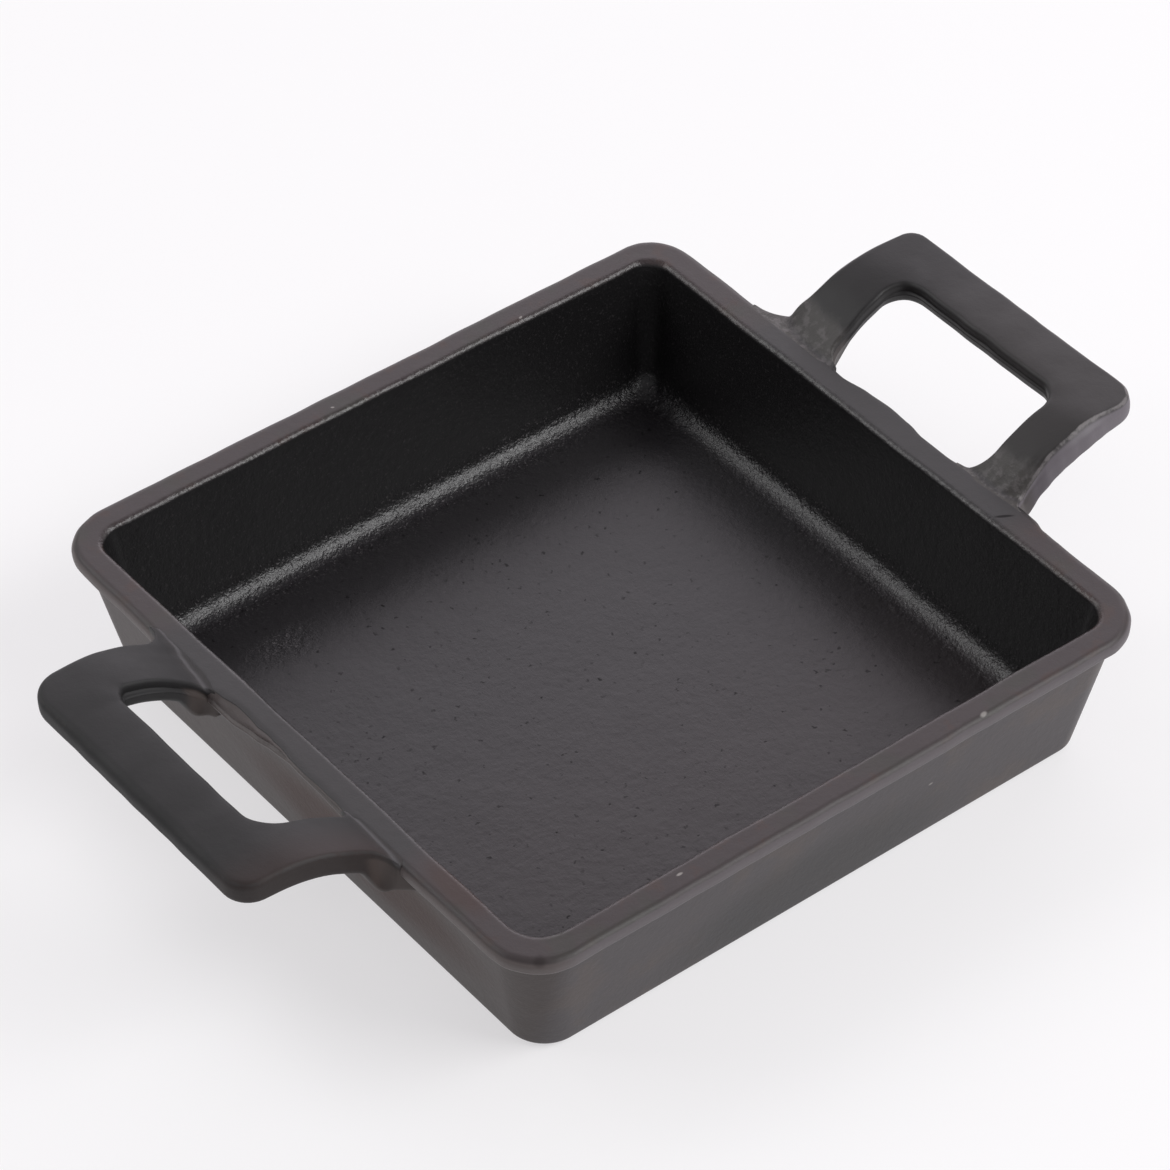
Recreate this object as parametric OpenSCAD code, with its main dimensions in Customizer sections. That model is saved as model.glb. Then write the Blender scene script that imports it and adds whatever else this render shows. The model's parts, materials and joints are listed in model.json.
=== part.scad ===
// Small square cast iron serving pan with two loop handles.
// Millimetres. X runs from handle to handle, Z is up, and the origin is
// at the centre of the flat underside. Left is -X and front is -Y.
// The real pan is one casting. Its regions are separate solids here, and
// they meet face to face.

/* [Rim and walls] */
// Width and length over the rim
rim_width = 150; // [130:1:200]
// Height from the table to the top of the rim
pan_height = 33; // [26:0.5:50]
// Width of the flat top of the rim, from outside to inside
rim_land = 6.4; // [5.6:0.1:9]
// How far the rim stands out past the wall under it
rim_overhang = 2.7; // [1:0.1:3.5]
// Height of the upright band round the rim
rim_band_height = 2.8; // [2:0.1:5]
// Height of the slanted underside that runs from the band back to the wall
rim_underside_height = 1.8; // [1:0.1:4]
// Radius of the rim's outer top edge
rim_edge_radius = 1; // [0.4:0.1:1.6]
// Radius of the rim's inner top edge
rim_inner_edge_radius = 0.8; // [0.3:0.1:1.6]
// Draft of the outside of the walls, in degrees
outer_draft = 12.1; // [6:0.1:16]
// Draft of the inside of the walls, in degrees
inner_draft = 10.4; // [6:0.1:15]

/* [Floor] */
// Thickness of the floor
floor_thickness = 4.8; // [3.5:0.1:8]
// Radius of the fillet between the floor and the inside of the walls
floor_fillet = 5; // [2:0.1:8]
// Radius of the edge between the underside and the outside of the walls
base_edge_radius = 2; // [0.8:0.1:3]

/* [Corners] */
// Corner radius of the rim, seen from above
rim_corner_radius = 11.5; // [8:0.1:16]
// Corner radius of the wall just under the rim
wall_corner_radius = 10.4; // [7:0.1:14]
// Corner radius of the wall at the table
base_corner_radius = 7; // [5:0.1:12]
// Corner radius of the inside at the rim
inner_rim_corner_radius = 5.5; // [3:0.1:9]
// Corner radius of the inside at the floor
inner_floor_corner_radius = 4; // [2.5:0.1:8]

/* [Handles] */
// How far a handle reaches out past the rim
handle_reach = 32.4; // [27:0.1:45]
// Width of the grip, measured outward
grip_width = 12.4; // [9:0.1:14]
// Height of the grip's top above the rim
grip_rise = 10.9; // [7:0.1:15]
// Thickness of the grip
grip_thickness = 5.2; // [4.4:0.1:8]
// Thickness of the arms
arm_thickness = 6; // [4.6:0.1:8]
// Distance over both arms at the rim
handle_width = 71.2; // [64:0.1:90]
// How much the handle narrows on each side from the rim to the grip
handle_taper = 2.1; // [0:0.1:4]
// Width of the finger opening at the rim
finger_width = 43.6; // [36:0.1:50]
// How much the finger opening widens on each side towards the grip
finger_taper = 1; // [0:0.1:2]
// Outer corner radius of the handle, seen from above
handle_corner_radius = 6; // [3:0.1:9]
// Corner radius of the finger opening at the grip
finger_corner_radius = 5; // [2:0.1:6]
// Radius along all edges of the handle
handle_edge_radius = 1.9; // [0.8:0.1:2.1]

/* [Handle roots] */
// Radius of the ear that blends the outside of an arm into the rim
ear_radius = 5.5; // [2:0.1:9]
// Radius of the corner between an arm and the rim inside the finger opening
finger_root_radius = 4.5; // [2:0.1:6]
// Step down from the top of the rim to the start of an arm
root_step = 0.4; // [0.2:0.1:1]
// Distance over which an arm rises to the height of the grip
rise_run = 24; // [16:0.5:26]
// Depth of the lug under an arm, below the top of the rim
lug_depth = 8.6; // [7:0.1:14]
// How far the flat bottom of the lug reaches out past the rim
lug_reach = 1.2; // [0.5:0.1:3]
// Distance over which the lug sweeps up into the underside of the arm
lug_sweep = 5.6; // [4:0.1:9]

/* [Hidden] */

iron = [0.17, 0.165, 0.165];
rim_iron = [0.27, 0.25, 0.25];
handle_iron = [0.2, 0.2, 0.205];

// Segments in a quarter turn
corner_steps = 12;
fillet_steps = 6;
edge_steps = 4;
bend_steps = 12;
root_steps = 6;

rim_half = rim_width / 2;
inner_rim_half = rim_half - rim_land;
wall_top_z = pan_height - rim_band_height - rim_underside_height;
wall_top_half = rim_half - rim_overhang;
base_half = wall_top_half - wall_top_z * tan(outer_draft);
inner_floor_half = inner_rim_half - (pan_height - floor_thickness) * tan(inner_draft);

// Length of the arc's tangent, from the corner where floor and wall would meet
fillet_tangent = floor_fillet * tan((90 - inner_draft) / 2);
floor_flat_half = inner_floor_half - fillet_tangent;

// The inside's corners get tighter by this share down the fillet
fillet_corner_share = 0.25;
floor_flat_corner_radius = inner_floor_corner_radius * (1 - fillet_corner_share);

base_tangent = base_edge_radius * tan((90 - outer_draft) / 2);

// Half width and corner radius of the inside at a height above the table
function inner_half(z) = inner_rim_half - (pan_height - z) * tan(inner_draft);
function inner_corner(z) = inner_floor_corner_radius
    + (inner_rim_corner_radius - inner_floor_corner_radius)
    * (z - floor_thickness) / (pan_height - floor_thickness);

// The same of the outside of the wall
function outer_half(z) = base_half + z * tan(outer_draft);
function outer_corner(z) = base_corner_radius
    + (wall_corner_radius - base_corner_radius) * z / wall_top_z;

// Points round a square with rounded corners, anticlockwise from +X
function rounded_outline(half, radius) = [
    for (corner = [0:3], step = [0:corner_steps])
        let (angle = 90 * (corner + step / corner_steps),
             side_x = corner == 0 || corner == 3 ? 1 : -1,
             side_y = corner < 2 ? 1 : -1)
        [side_x * (half - radius) + radius * cos(angle),
         side_y * (half - radius) + radius * sin(angle)]
];

// A closed ring. Its section runs up the outside and down the inside, and
// each level of it is [half width, corner radius, height].
module rounded_ring(levels) {
    count = 4 * (corner_steps + 1);
    rows = len(levels);
    polyhedron(
        points = [for (level = levels, point = rounded_outline(level[0], level[1]))
            [point[0], point[1], level[2]]],
        faces = [for (row = [0:rows - 1], side = [0:count - 1])
            let (next_row = (row + 1) % rows, next_side = (side + 1) % count)
            [row * count + side, next_row * count + side,
             next_row * count + next_side, row * count + next_side]]
    );
}

// Levels of the outer edge at the table, then of the wall up to the rim
outer_wall_levels = [
    for (step = [0:fillet_steps])
        let (angle = (90 - outer_draft) * step / fillet_steps,
             z = base_edge_radius * (1 - cos(angle)),
             half = base_half - base_tangent + base_edge_radius * sin(angle))
        [half, base_corner_radius - (outer_half(z) - half), z],
    [wall_top_half, wall_corner_radius, wall_top_z]
];

// Levels of the inside of the wall, from the rim down round the fillet
inner_wall_levels = [
    [inner_half(wall_top_z), inner_corner(wall_top_z), wall_top_z],
    for (step = [fillet_steps:-1:0])
        let (angle = (90 - inner_draft) * step / fillet_steps,
             z = floor_thickness + floor_fillet * (1 - cos(angle)),
             half = floor_flat_half + floor_fillet * sin(angle),
             drawn_in_share = (inner_half(z) - half) / fillet_tangent)
        [half, inner_corner(z) * (1 - fillet_corner_share * drawn_in_share), z],
    [floor_flat_half, floor_flat_corner_radius, 0]
];

rim_levels = [
    [wall_top_half, wall_corner_radius, wall_top_z],
    [rim_half, rim_corner_radius, pan_height - rim_band_height],
    for (step = [0:edge_steps])
        let (angle = 90 * step / edge_steps, inset = rim_edge_radius * (1 - cos(angle)))
        [rim_half - inset, rim_corner_radius - inset,
         pan_height - rim_edge_radius * (1 - sin(angle))],
    for (step = [0:edge_steps])
        let (angle = (90 - inner_draft) * step / edge_steps,
             tangent = rim_inner_edge_radius * tan((90 - inner_draft) / 2),
             z = pan_height - rim_inner_edge_radius * (1 - cos(angle)),
             half = inner_rim_half + tangent - rim_inner_edge_radius * sin(angle))
        [half, inner_rim_corner_radius + half - inner_half(z), z],
    [inner_half(wall_top_z), inner_corner(wall_top_z), wall_top_z]
];

// Handle. "out" is the distance from the rim, "across" the distance from
// the middle of the handle, and heights are above the top of the rim.
finger_reach = handle_reach - grip_width;
taper_share = handle_taper / handle_reach;
finger_taper_share = finger_taper / finger_reach;
function arm_outside(out) = handle_width / 2 - out * taper_share;
function arm_inside(out) = finger_width / 2 + out * finger_taper_share;

// Top of the handle: a curve that flattens out at the grip
rise_power = 2.2;
function handle_top(out) = -root_step + (grip_rise + root_step)
    * (1 - pow(max(0, 1 - out / rise_run), rise_power));
function handle_thickness(out) = arm_thickness
    + (grip_thickness - arm_thickness) * out / handle_reach;

// Underside: flat under the lug, then an S curve up to the arm
function ease(share) = share <= 0 ? 0 : share >= 1 ? 1 : share * share * (3 - 2 * share);
function handle_bottom(out) = -lug_depth
    + (handle_top(out) - handle_thickness(out) + lug_depth)
    * ease((out - lug_reach) / lug_sweep);

// The ears are full at the top of the rim and fade out down the lug
function fillet_spread(out, radius) = out >= radius ? 0
    : radius - sqrt(radius * radius - (radius - out) * (radius - out));
function root_inside(out, depth_share) =
    arm_inside(out) - fillet_spread(out, finger_root_radius) * (1 - depth_share);
function root_outside(out, depth_share) =
    arm_outside(out) + fillet_spread(out, ear_radius) * (1 - depth_share);

// Distance from the rim of the pan's outside at a height: the band, the
// slanted underside and the wall
function pan_outside(height) =
    height >= -rim_band_height ? 0
    : height >= -rim_band_height - rim_underside_height
        ? (height + rim_band_height) / rim_underside_height * rim_overhang
        : -rim_overhang
            + (height + rim_band_height + rim_underside_height) * tan(outer_draft);

// Rows down one side of the handle's section: [inset, depth] in shares of
// the edge radius and of the flat side between the two rounded edges
root_flat = lug_depth - root_step - 2 * handle_edge_radius;
function flat_share(depth) =
    min(1, max(0, (depth - root_step - handle_edge_radius) / root_flat));
section_row_shares = [
    for (step = [0:edge_steps]) let (angle = 90 * step / edge_steps)
        [1 - sin(angle), 1 - cos(angle), 0],
    [0, 1, flat_share(rim_band_height)],
    [0, 1, flat_share(rim_band_height + rim_underside_height)],
    for (step = [0:edge_steps]) let (angle = 90 * step / edge_steps)
        [1 - cos(angle), 1 + sin(angle), 1],
];
row_count = len(section_row_shares);

// Depth of a row as a share of the thickness at that place
function depth_share(row, thickness) =
    (section_row_shares[row][1] * handle_edge_radius
        + section_row_shares[row][2] * (thickness - 2 * handle_edge_radius)) / thickness;

// One point of the handle at a plan position and a row
function handle_point(plan, share) =
    let (top = handle_top(plan[0]), bottom = handle_bottom(plan[0]))
    [plan[0], plan[1], top - (top - bottom) * share];

// A section between two plan points: down the inside, then up the outside
function section_points(inside, outside) =
    let (width = norm(outside - inside), middle = (inside + outside) / 2,
         thickness = handle_top(middle[0]) - handle_bottom(middle[0]))
    [for (row = [0:row_count - 1])
        let (share = section_row_shares[row][0] * handle_edge_radius / width)
        handle_point(inside + (outside - inside) * share, depth_share(row, thickness)),
     for (row = [row_count - 1:-1:0])
        let (share = section_row_shares[row][0] * handle_edge_radius / width)
        handle_point(outside + (inside - outside) * share, depth_share(row, thickness))];

// A section across an arm, with the ears. The one at the rim lies against
// the pan's outside.
function arm_section(out) =
    let (thickness = handle_top(out) - handle_bottom(out))
    [for (side = [0, 1], index = [0:row_count - 1])
        let (row = side == 0 ? index : row_count - 1 - index,
             share = depth_share(row, thickness),
             inset = section_row_shares[row][0] * handle_edge_radius,
             height = handle_top(out) - thickness * share,
             across = side == 0 ? root_inside(out, share) + inset
                : root_outside(out, share) - inset)
        [out > 0 ? out : pan_outside(height), across, height]];

// Centre of the opening's corner, from which the sections of the bend fan out
bend_out = finger_reach - finger_corner_radius;
bend_centre = [bend_out, arm_inside(bend_out) - finger_corner_radius];
corner_out = handle_reach - handle_corner_radius;
corner_centre = [corner_out, arm_outside(corner_out) - handle_corner_radius];

// Where a ray from the bend's centre meets the handle's outline: the arm's
// outer side, the far end of the grip, or the rounded corner between them
function on_side(ray) = bend_centre
    + ray * (arm_outside(bend_out) - bend_centre[1]) / (ray[1] + taper_share * ray[0]);
function on_end(ray) = bend_centre + ray * (handle_reach - bend_out) / ray[0];
function on_corner(ray) =
    let (offset = corner_centre - bend_centre, along = offset * ray,
         half_chord = sqrt(max(0, handle_corner_radius * handle_corner_radius
            - offset * offset + along * along)))
    bend_centre + ray * (along + half_chord);
function outline_point(ray) =
    on_side(ray)[0] <= corner_out ? on_side(ray)
    : on_end(ray)[1] <= corner_centre[1] ? on_end(ray)
    : on_corner(ray);

function bend_section(angle) =
    let (ray = [sin(angle), cos(angle)])
    section_points(bend_centre + finger_corner_radius * ray, outline_point(ray));

// Distances of the arm's sections from the rim, close together in the ear
arm_outs = [
    for (step = [0:root_steps])
        max(ear_radius, finger_root_radius) * (1 - cos(90 * step / root_steps)),
    for (step = [1:root_steps])
        let (start = max(ear_radius, finger_root_radius))
        start + (bend_out - start) * step / root_steps
];
arm_sections = [for (out = arm_outs) arm_section(out)];

function mirrored(sections) = [
    for (index = [len(sections) - 1:-1:0])
        [for (point = sections[index]) [point[0], -point[1], point[2]]]
];
half_grip_sections = [for (step = [0:bend_steps]) bend_section(90 * step / bend_steps)];
grip_sections = concat(half_grip_sections, mirrored(half_grip_sections));

// Solid through a row of sections, closed at both ends by strips that join
// the two sides of the section row by row
module lofted(sections) {
    count = 2 * row_count;
    last = (len(sections) - 1) * count;
    polyhedron(
        points = [for (section = sections, point = section)
            [rim_half + point[0], point[1], pan_height + point[2]]],
        faces = [
            for (index = [0:len(sections) - 2], side = [0:count - 1])
                let (here = index * count + side, next = index * count + (side + 1) % count)
                each [[here, next, next + count], [here, next + count, here + count]],
            for (row = [0:row_count - 2])
                each [[row, count - 1 - row, count - 2 - row], [row, count - 2 - row, row + 1]],
            for (row = [0:row_count - 2])
                each [[last + row, last + count - 2 - row, last + count - 1 - row],
                      [last + row, last + row + 1, last + count - 2 - row]],
        ]
    );
}

module pan_floor() {
    color(iron)
        linear_extrude(height = floor_thickness)
            polygon(rounded_outline(floor_flat_half, floor_flat_corner_radius));
}

module side_walls() {
    color(iron) rounded_ring(concat(outer_wall_levels, inner_wall_levels));
}

module rim_band() {
    color(rim_iron) rounded_ring(rim_levels);
}

module back_arm() {
    color(handle_iron) lofted(arm_sections);
}

module grip() {
    color(handle_iron) lofted(grip_sections);
}

module right_back_arm() { back_arm(); }
module right_front_arm() { mirror([0, 1, 0]) back_arm(); }
module right_grip() { grip(); }
module left_back_arm() { mirror([1, 0, 0]) back_arm(); }
module left_front_arm() { mirror([1, 0, 0]) mirror([0, 1, 0]) back_arm(); }
module left_grip() { mirror([1, 0, 0]) grip(); }

pan_floor();
side_walls();
rim_band();
left_front_arm();
left_back_arm();
left_grip();
right_front_arm();
right_back_arm();
right_grip();
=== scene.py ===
# Small square cast iron serving pan with two raised loop handles, ready to render.
# Lengths in the dictionaries are millimetres; meshes are in metres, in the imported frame.
import json
import math
import bpy
import numpy as np
from mathutils import Matrix, Vector

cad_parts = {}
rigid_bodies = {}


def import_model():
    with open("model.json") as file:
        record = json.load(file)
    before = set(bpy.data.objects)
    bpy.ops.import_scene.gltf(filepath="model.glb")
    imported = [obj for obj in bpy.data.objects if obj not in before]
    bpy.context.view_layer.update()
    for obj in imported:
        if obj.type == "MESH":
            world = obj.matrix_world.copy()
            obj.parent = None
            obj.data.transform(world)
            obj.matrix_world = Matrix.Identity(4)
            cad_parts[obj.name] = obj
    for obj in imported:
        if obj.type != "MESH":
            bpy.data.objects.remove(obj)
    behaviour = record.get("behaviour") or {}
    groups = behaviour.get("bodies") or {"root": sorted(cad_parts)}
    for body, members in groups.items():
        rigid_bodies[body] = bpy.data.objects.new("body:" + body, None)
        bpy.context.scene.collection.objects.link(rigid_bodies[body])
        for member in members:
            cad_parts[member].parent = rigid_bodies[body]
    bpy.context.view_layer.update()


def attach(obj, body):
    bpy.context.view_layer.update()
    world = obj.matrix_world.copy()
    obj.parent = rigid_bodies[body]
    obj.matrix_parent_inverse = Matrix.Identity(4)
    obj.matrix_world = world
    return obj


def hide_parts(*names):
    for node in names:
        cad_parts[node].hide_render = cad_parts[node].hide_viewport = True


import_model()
mm = 0.001


def smoothShare(value):
    # 0 below 0, 1 above 1, and 3 v^2 - 2 v^3 between them
    value = np.clip(value, 0, 1)
    return value * value * (3 - 2 * value)


def ripple(turns, cycles, seed):
    # sum of sine waves that close on themselves after one turn: each has a whole number of
    # cycles and a seeded phase, and the sum is divided by the root of their number
    phases = np.random.default_rng(seed).uniform(0, 2 * np.pi, len(cycles))
    waves = [np.sin(2 * np.pi * count * turns + phase) for count, phase in zip(cycles, phases)]
    return sum(waves) / math.sqrt(len(cycles))


def smoothCurve(places, knots):
    # through (place, value) knots, with 3 v^2 - 2 v^3 from each to the next, and level outside
    knots = np.array(sorted(knots), float)
    value = np.full_like(places, knots[0, 1])
    for (start, low), (end, high) in zip(knots[:-1], knots[1:]):
        value = value + (high - low) * smoothShare((places - start) / (end - start))
    return value


def lineThrough(places, knots):
    # straight from each (place, value) knot to the next, and level outside
    return np.interp(places, *np.transpose(knots))


def filletSpread(distance, radius):
    # height of a circular fillet over its tangent: radius - sqrt(radius^2 - (radius - distance)^2)
    reach = np.clip(radius - distance, 0, radius)
    return radius - np.sqrt(radius ** 2 - reach ** 2)


def roundedSection(corners, radii, arcSteps, straightSteps):
    # Polyline whose corners are arcs: an arc leaves the line at radius * tan(turn / 2) before its
    # corner and is swept by equal angles. The station of a point counts the corners passed, whole
    # at the middle of an arc and in proportion to length between them. Returns the points, their
    # stations and their distances along the line.
    corners = np.array(corners, float)
    points, marks = [corners[:1]], [0]
    for k in range(1, len(corners) - 1):
        inward = corners[k] - corners[k - 1]
        outward = corners[k + 1] - corners[k]
        inward, outward = inward / np.linalg.norm(inward), outward / np.linalg.norm(outward)
        turn = math.atan2(inward[0] * outward[1] - inward[1] * outward[0], inward @ outward)
        tangent = radii[k - 1] * abs(math.tan(turn / 2))
        start = corners[k] - inward * tangent
        side = np.array([-inward[1], inward[0]]) * math.copysign(1, turn)
        angle = np.linspace(0, abs(turn), arcSteps[k - 1] + 1)[:, None]
        arc = start + radii[k - 1] * (side * (1 - np.cos(angle)) + inward * np.sin(angle))
        share = np.linspace(0, 1, straightSteps[k - 1] + 1)[1:-1, None]
        points += [points[-1][-1:] + (start - points[-1][-1:]) * share, arc]
        marks.append(sum(len(p) for p in points) - len(arc) + arcSteps[k - 1] // 2)
    share = np.linspace(0, 1, straightSteps[-1] + 1)[1:, None]
    points.append(points[-1][-1:] + (corners[-1] - points[-1][-1:]) * share)
    points = np.concatenate(points)
    length = np.concatenate([[0], np.cumsum(np.linalg.norm(np.diff(points, axis=0), axis=1))])
    marks.append(len(points) - 1)
    return points, np.interp(length, length[marks], np.arange(len(marks))), length


def newObject(name, data):
    placed = bpy.data.objects.new(name, data)
    bpy.context.scene.collection.objects.link(placed)
    return placed


def meshPiece(name, grid, firstPole, lastPole, fields):
    # Rows x columns x 3 points in millimetres, closed along the columns, with one vertex at each
    # end of the rows. A negative volume means that the faces look inwards, and then they turn.
    # Each field is a rows x columns array that becomes an attribute for the material to read.
    rows, columns = grid.shape[:2]
    points = np.concatenate([grid.reshape(-1, 3), [firstPole, lastPole]]) * mm
    row, column = np.meshgrid(np.arange(rows - 1), np.arange(columns), indexing="ij")
    nextColumn = (column + 1) % columns
    quads = np.stack([row * columns + column, row * columns + nextColumn,
                      (row + 1) * columns + nextColumn, (row + 1) * columns + column], -1)
    ring = np.arange(columns)
    nextRing = (ring + 1) % columns
    last = (rows - 1) * columns
    fans = np.concatenate([
        np.stack([np.full(columns, rows * columns), nextRing, ring], -1),
        np.stack([np.full(columns, rows * columns + 1), last + ring, last + nextRing], -1)])
    quads = quads.reshape(-1, 4)
    triangles = np.concatenate([quads[:, :3], quads[:, [0, 2, 3]], fans])
    a, b, c = (points[triangles[:, k]] for k in range(3))
    if np.einsum("ij,ij->", a, np.cross(b, c)) < 0:
        quads, fans = quads[:, ::-1], fans[:, ::-1]
    mesh = bpy.data.meshes.new(name)
    mesh.from_pydata(points.tolist(), [], quads.tolist() + fans.tolist())
    mesh.polygons.foreach_set("use_smooth", np.ones(len(mesh.polygons), bool))
    for field, values in fields.items():
        values = np.concatenate([values.ravel(), [values[0].mean(), values[-1].mean()]])
        attribute = mesh.attributes.new(field, "FLOAT", "POINT")
        attribute.data.foreach_set("value", values.astype(np.float32))
    mesh.update()
    piece = newObject(name, mesh)
    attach(piece, "root")
    return piece


# Stations along the pan's section: 1 the base's edge, 2 the top of the outer wall, 3 the foot of
# the band, 4 and 5 the rim's outer and inner edges, 6 the fillet, 7 the middle of the floor.
panShape = {
    "height": 33.0,              # table to the top of the rim
    "rimHalf": 75.0,             # half width over the rim
    "innerRimHalf": 68.6,        # half width of the inside at the rim
    "wallTopHalf": 72.3,         # half width of the wall just under the rim
    "wallTopHeight": 28.4,
    "bandBottomHeight": 30.2,    # lower edge of the upright band
    "bandLean": 0.1,             # how far that edge stands in from the rim
    "baseHalf": 66.2,            # half width at the table
    "floorHeight": 4.8,
    "innerFloorHalf": 63.4,
    # radii in the section: base, under the rim, foot of the band, rim, inside of the rim, floor
    "edgeRadii": [2.0, 1.6, 0.9, 1.7, 1.4, 5.0],
    # corner radii seen from above: back right, back left, front left, front right
    "baseCorners": [7.0, 7.4, 7.6, 6.0],
    "wallCorners": [8.4, 11.0, 10.2, 10.6],
    "rimCorners": [8.3, 12.2, 11.2, 12.2],
    "innerRimCorners": [5.2, 5.6, 7.2, 5.4],
    "innerFloorCorners": [3.4, 3.6, 4.2, 3.6],
    "outerWave": (0.09, [5, 9, 14, 23, 41, 62]),    # unevenness of the rim's outer and inner edge:
    "innerWave": (0.11, [6, 11, 17, 29]),           # its size, and its cycles in one turn
    "waveInset": 0.7,                               # keeps the outer one inside the CAD's box
    "sandyPatch": [-41, 47, 8, 5],                  # middle and reach of rough sand on the floor
    "outerArc": (3.4, 4.6), "floorFrom": 6.2,       # stations of the rim's outer rounding, floor
    # where the rows stop short of the middle, and their corner radii there: base and floor
    "centreHalf": 0.6, "centreRadii": (0.3, 0.03),
    "arcColumns": 22, "sideColumns": [96, 168],     # columns along a plain side and a handle side
    # columns crowd on a handle side at these places along it, with a reach and a share
    "crowding": [(20.5, 3.5, 1.6), (39.0, 5.0, 1.4)], "straightHalf": 64, "fineSteps": 4001,
    # rows along each arc of the section and each straight between
    "arcRows": [8, 6, 4, 12, 10, 18], "straightRows": [8, 16, 3, 12, 10, 16, 22],
    # knots by station: how much of the rim's shifts and of the inner wave a row takes
    "rimShare": [(2, 0), (2.7, 0.8), (3, 1), (4, 1), (5, 0)],
    "innerShare": [(4.2, 0), (4.9, 1), (5.1, 1), (5.6, 0.25), (6, 0)],
    # how much the sand's grain stands out: knots by station, and bells with the station of their
    # middle, their reach and their height
    "grainLevel": [(3.9, 0.2), (4.1, 0.12), (4.95, 0.12), (5.1, 0.4), (5.9, 0.4), (6.2, 0.17),
                   (7, 0.15)],
    "grainBells": [(5, 0.8, 0.7), (6, 6.0, 1.0)],
    # the waves turn from Y to X round a corner: the |x| / |y| where that starts, and its length
    "waveTurn": (0.85, 0.3),
}

# The rim beside each handle. Knots are (distance along Y, how far the edge stands out from the
# plain rim): "lower" is the half below the parting line and "upper" the half above it, which
# the mould left a little aside. "groove" is the depth of the crevice between them, and "edge" the
# share of the rim's top radius that is left inside the finger opening.
partingStep = (1.75, 0.4)        # depth below the rim's top, and reach
partingCrevice = (1.85, 0.3)
handleSideFrom = 40              # the shifts are for points further out than this
shiftEnd, shiftFade = 72, 8      # they end there along the side, and fade over this length
gapMargin, gapFade = 2, 3        # the opening's share ends this far past it, and fades like that
rimAtHandle = {
    "right": {
        "side": 1, "centre": -0.8, "gap": 21.8, "groove": 0.1, "edge": 0.58,
        "lower": [(-70, 0.05), (-60, 0.2), (-50, 0.3), (-46, 0.4), (-42.7, 0.6), (-39.3, 1.4),
                  (-36, 1.5), (-20, 0.5), (-15, 0.0), (-8, 0.05), (-3, 0.7), (3, 1.05), (9, 0.7),
                  (16, -0.25), (19, -0.1), (22, 0.3), (45, 0.6), (60, 0.6), (70, 0.3)],
        "upper": [(-24, 0.0), (-18, -0.1), (18, -0.1), (24, 0.0)],
    },
    "left": {
        "side": -1, "centre": -1.5, "gap": 21.6, "groove": 0.75, "edge": 0.29,
        "lower": [(-24, 0.0), (-17, -0.55), (-9, -0.9), (-3, -0.95), (2, -0.5), (7, 0.35),
                  (13, 1.15), (20, 1.2), (25, 0.0), (40, 0.0), (48, -0.3), (66, -0.3)],
        "upper": [(-24, 0.0), (-19, 0.1), (-14, 0.25), (-9, 0.6), (-4, 0.5), (1, -0.3),
                  (6, -1.05), (13, -2.2), (18, -1.4), (23, 0.0)],
    },
}


def panColumns(shape):
    # For each column: its corner, how far round that corner's arc it is, and how far along the
    # side that follows. Columns crowd together where the arms of the handles meet the rim.
    corner, arc, along = [], [], []
    for k in range(4):
        turn = np.linspace(0, 1, shape["arcColumns"] + 1)
        fine = np.linspace(0, 1, shape["fineSteps"])
        place = np.abs(shape["straightHalf"] * (1 - 2 * fine))
        crowd = 1 + sum(most * np.exp(-((place - middle) / reach) ** 2)
                        for middle, reach, most in shape["crowding"]) * (k % 2)
        total = np.cumsum(crowd)
        total = (total - total[0]) / (total[-1] - total[0])
        count = shape["sideColumns"][k % 2]
        step = np.interp(np.linspace(0, 1, count + 1)[1:-1], total, fine)
        corner += [np.full(len(turn) + len(step), k)]
        arc += [turn, np.ones(len(step))]
        along += [np.zeros(len(turn)), step]
    return tuple(np.concatenate(part) for part in (corner, arc, along))


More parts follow.
